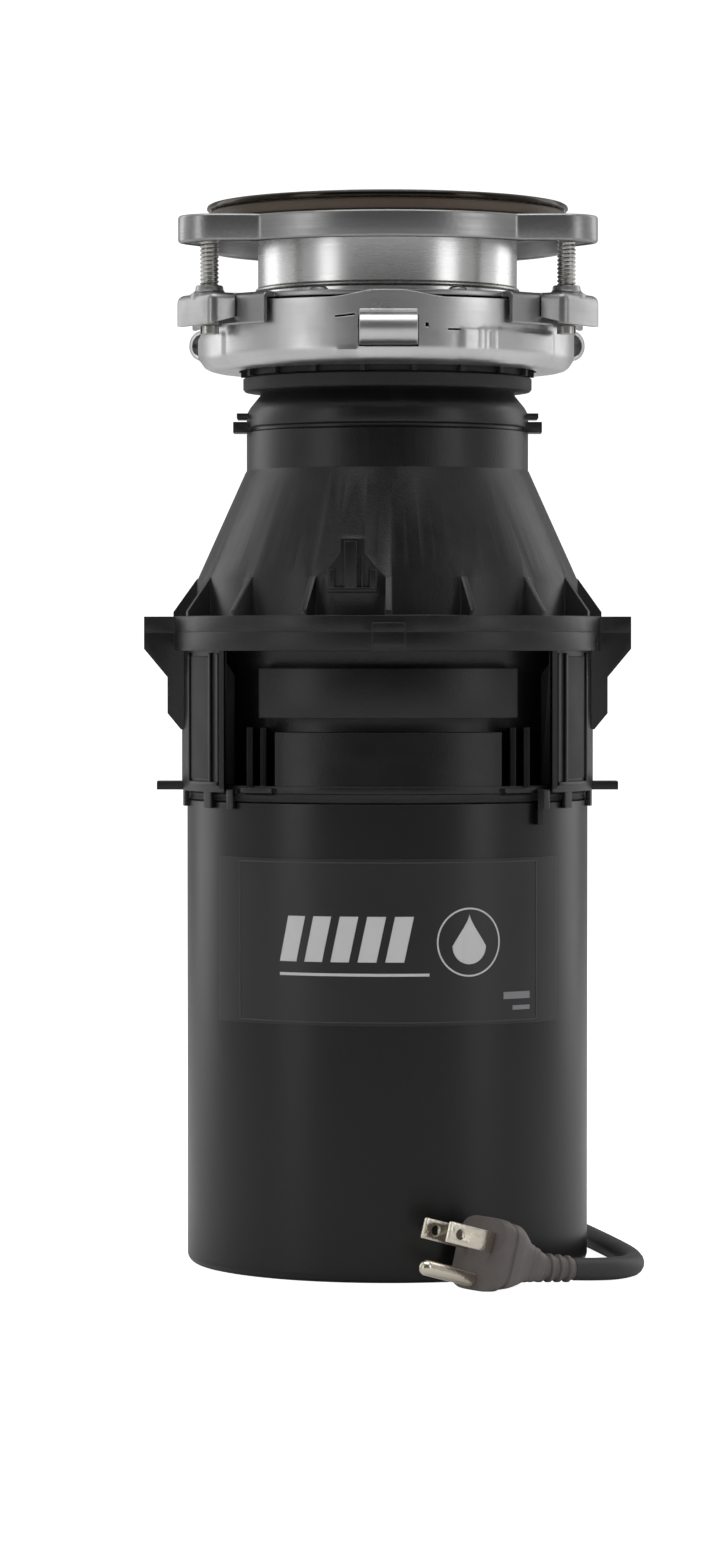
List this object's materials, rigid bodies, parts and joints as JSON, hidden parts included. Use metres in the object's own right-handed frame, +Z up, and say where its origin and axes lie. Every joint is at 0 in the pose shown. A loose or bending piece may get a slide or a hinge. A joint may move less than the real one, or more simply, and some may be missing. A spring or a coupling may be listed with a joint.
{
  "type": "kitchen garbage disposal",
  "caption": "Upright food waste disposer: motor can, ribbed hopper, grinding turntable, sink mount with clamp flange and turning ring, fitted cord and plug",
  "frame": {"origin": "centre of the flat base of the motor can, on the surface it stands on", "axes": "+Z up along the motor axis, the label faces -Y, the discharge port faces +Y, the container ears lie on X"},
  "size_m": [0.1568, 0.2888, 0.3355],
  "materials": {
    "painted": "satin black baked enamel",
    "black_plastic": "moulded glass-filled plastic, satin",
    "label_print": "printed film, satin",
    "cast_alloy": "die cast, sand-blasted",
    "plated_steel": "zinc plated, rolled",
    "polished_steel": "polished stainless",
    "stamped_steel": "stamped, bright galvanised",
    "laminations": "stacked sheet steel",
    "copper": "enamelled copper wire",
    "bronze": "oil-filled sintered bronze",
    "rubber_black": "moulded, matt",
    "fiber": "pressed fibre, matt",
    "button_red": "gloss red",
    "screw_green": "green dyed zinc",
    "cord_grey": "smooth flexible sheath",
    "plug_grey": "moulded, satin warm grey",
    "nickel": "nickel plated brass"
  },
  "bodies": {
    "housing": {"motor_can": "painted", "label_plate": "label_print", "lower_end_bell": "cast_alloy", "upper_end_bell": "cast_alloy", "lower_bearing": "bronze", "upper_bearing": "bronze", "stator_core": "laminations", "stator_windings": "copper", "start_switch": "black_plastic", "through_bolts": "plated_steel", "overload_protector": "black_plastic", "cover_plate": "painted", "cover_screws": "plated_steel", "ground_screw": "screw_green", "lower_container": "black_plastic", "container_gasket": "rubber_black", "container_bolts": "plated_steel", "discharge_gasket": "rubber_black", "discharge_flange": "stamped_steel", "discharge_screws": "plated_steel", "shaft_seal": "rubber_black", "seal_spring": "plated_steel", "upper_container": "black_plastic", "grind_ring": "stamped_steel", "mounting_gasket": "rubber_black", "splash_baffle": "rubber_black", "upper_mounting_ring": "stamped_steel", "snap_ring": "plated_steel", "sink_flange": "polished_steel", "strain_relief": "rubber_black", "cord_lead": "cord_grey", "cord_coil": "cord_grey", "cord_run": "cord_grey", "plug_body": "plug_grey", "plug_blades": "nickel", "plug_ground_pin": "nickel"},
    "rotor": {"rotor_shaft": "plated_steel", "rotor_core": "laminations", "rotor_cage": "cast_alloy", "thrust_washer": "fiber", "water_slinger": "rubber_black", "turntable": "stamped_steel", "turntable_nut": "plated_steel", "impeller_rivet_right": "plated_steel", "impeller_rivet_left": "plated_steel"},
    "mount_ring": {"lower_mounting_ring": "stamped_steel", "wrench_loop_front": "stamped_steel", "wrench_loop_right": "stamped_steel", "wrench_loop_left": "stamped_steel"},
    "clamp": {"backup_flange": "stamped_steel", "fiber_gasket": "fiber"},
    "impeller_right_body": {"impeller_right": "stamped_steel"},
    "impeller_left_body": {"impeller_left": "stamped_steel"},
    "screw_right": {"mounting_screw_right": "plated_steel"},
    "screw_back": {"mounting_screw_back": "plated_steel"},
    "screw_left": {"mounting_screw_left": "plated_steel"},
    "button": {"reset_button": "button_red"},
    "actuator": {"centrifugal_actuator": "black_plastic"}
  },
  "joints": [
    {"name": "rotor_spin", "type": "hinge", "parent": "housing", "child": "rotor", "pos_m": [0, 0, 0.1], "axis": [0, 0, 1], "continuous": true},
    {"name": "impeller_right_swivel", "type": "hinge", "parent": "rotor", "child": "impeller_right_body", "pos_m": [0.036, 0, 0.2], "axis": [0, 0, 1], "continuous": true},
    {"name": "impeller_left_swivel", "type": "hinge", "parent": "rotor", "child": "impeller_left_body", "pos_m": [-0.036, 0, 0.2], "axis": [0, 0, 1], "continuous": true},
    {"name": "mount_ring_turn", "type": "hinge", "parent": "housing", "child": "mount_ring", "pos_m": [0, 0, 0.29], "axis": [0, 0, 1], "range_deg": [0, 20]},
    {"name": "clamp_slide", "type": "slide", "parent": "housing", "child": "clamp", "axis": [0, 0, 1], "range_m": [-0.015, 0]},
    {"name": "reset_press", "type": "slide", "parent": "housing", "child": "button", "axis": [0, 0, 1], "range_m": [0, 0.003]},
    {"name": "actuator_slide", "type": "slide", "parent": "rotor", "child": "actuator", "axis": [0, 0, 1], "range_m": [-0.002, 0], "stiffness_N_per_m": 200, "springref_m": 0.002},
    {"name": "screw_right_turn", "type": "hinge", "parent": "clamp", "child": "screw_right", "pos_m": [0.05543, -0.032, 0.3], "axis": [0, 0, 1], "continuous": true},
    {"name": "screw_back_turn", "type": "hinge", "parent": "clamp", "child": "screw_back", "pos_m": [0, 0.064, 0.3], "axis": [0, 0, 1], "continuous": true},
    {"name": "screw_left_turn", "type": "hinge", "parent": "clamp", "child": "screw_left", "pos_m": [-0.05543, -0.032, 0.3], "axis": [0, 0, 1], "continuous": true}
  ]
}
